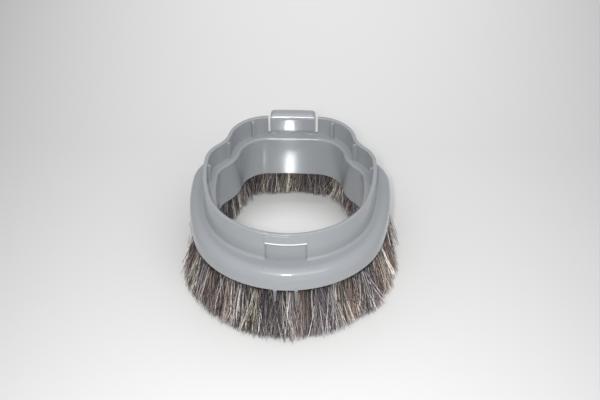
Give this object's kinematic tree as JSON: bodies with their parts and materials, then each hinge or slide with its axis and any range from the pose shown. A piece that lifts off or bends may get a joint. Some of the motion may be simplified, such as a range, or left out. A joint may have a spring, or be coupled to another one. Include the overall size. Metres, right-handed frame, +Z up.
{
  "type": "vacuum dusting brush",
  "caption": "Bell-shaped ring brush that pushes onto a vacuum tool: one moulded body with a collar, skirt, snap tab and a ring of natural bristle tufts.",
  "frame": {"origin": "under the middle of the brush, on the surface that the bristle tips stand on", "axes": "+Z up out of the collar, -Y towards the round front with the window recess, +Y towards the snap tab, X across"},
  "size_m": [0.1034, 0.1194, 0.057],
  "materials": {
    "body_plastic": "semi-gloss grey moulding",
    "anchor_wire": "bright flat wire",
    "bristles_grey": "natural hair, grey",
    "bristles_brown": "natural hair, brown",
    "bristles_dark": "natural hair, dark purple-grey",
    "bristles_cream": "natural hair, cream"
  },
  "bodies": {
    "root": {"brush_body": "body_plastic", "tuft_anchors": "anchor_wire", "bristle_tuft_01": "bristles_grey", "bristle_tuft_02": "bristles_brown", "bristle_tuft_03": "bristles_dark", "bristle_tuft_04": "bristles_grey", "bristle_tuft_05": "bristles_cream", "bristle_tuft_06": "bristles_brown", "bristle_tuft_07": "bristles_grey", "bristle_tuft_08": "bristles_dark", "bristle_tuft_09": "bristles_brown", "bristle_tuft_10": "bristles_cream", "bristle_tuft_11": "bristles_grey", "bristle_tuft_12": "bristles_brown", "bristle_tuft_13": "bristles_dark", "bristle_tuft_14": "bristles_brown", "bristle_tuft_15": "bristles_grey", "bristle_tuft_16": "bristles_cream", "bristle_tuft_17": "bristles_dark", "bristle_tuft_18": "bristles_grey", "bristle_tuft_19": "bristles_grey", "bristle_tuft_20": "bristles_brown", "bristle_tuft_21": "bristles_dark", "bristle_tuft_22": "bristles_grey", "bristle_tuft_23": "bristles_cream", "bristle_tuft_24": "bristles_brown", "bristle_tuft_25": "bristles_grey", "bristle_tuft_26": "bristles_dark", "bristle_tuft_27": "bristles_brown", "bristle_tuft_28": "bristles_cream", "bristle_tuft_29": "bristles_grey", "bristle_tuft_30": "bristles_brown", "bristle_tuft_31": "bristles_dark", "bristle_tuft_32": "bristles_brown", "bristle_tuft_33": "bristles_grey", "bristle_tuft_34": "bristles_cream", "bristle_tuft_35": "bristles_dark", "bristle_tuft_36": "bristles_grey", "bristle_tuft_37": "bristles_grey", "bristle_tuft_38": "bristles_brown", "bristle_tuft_39": "bristles_dark", "bristle_tuft_40": "bristles_grey", "bristle_tuft_41": "bristles_cream", "bristle_tuft_42": "bristles_brown", "bristle_tuft_43": "bristles_grey", "bristle_tuft_44": "bristles_dark", "bristle_tuft_45": "bristles_brown", "bristle_tuft_46": "bristles_cream", "bristle_tuft_47": "bristles_grey", "bristle_tuft_48": "bristles_brown", "bristle_tuft_49": "bristles_dark", "bristle_tuft_50": "bristles_brown", "bristle_tuft_51": "bristles_grey", "bristle_tuft_52": "bristles_cream", "bristle_tuft_53": "bristles_dark", "bristle_tuft_54": "bristles_grey"}
  },
  "joints": []
}
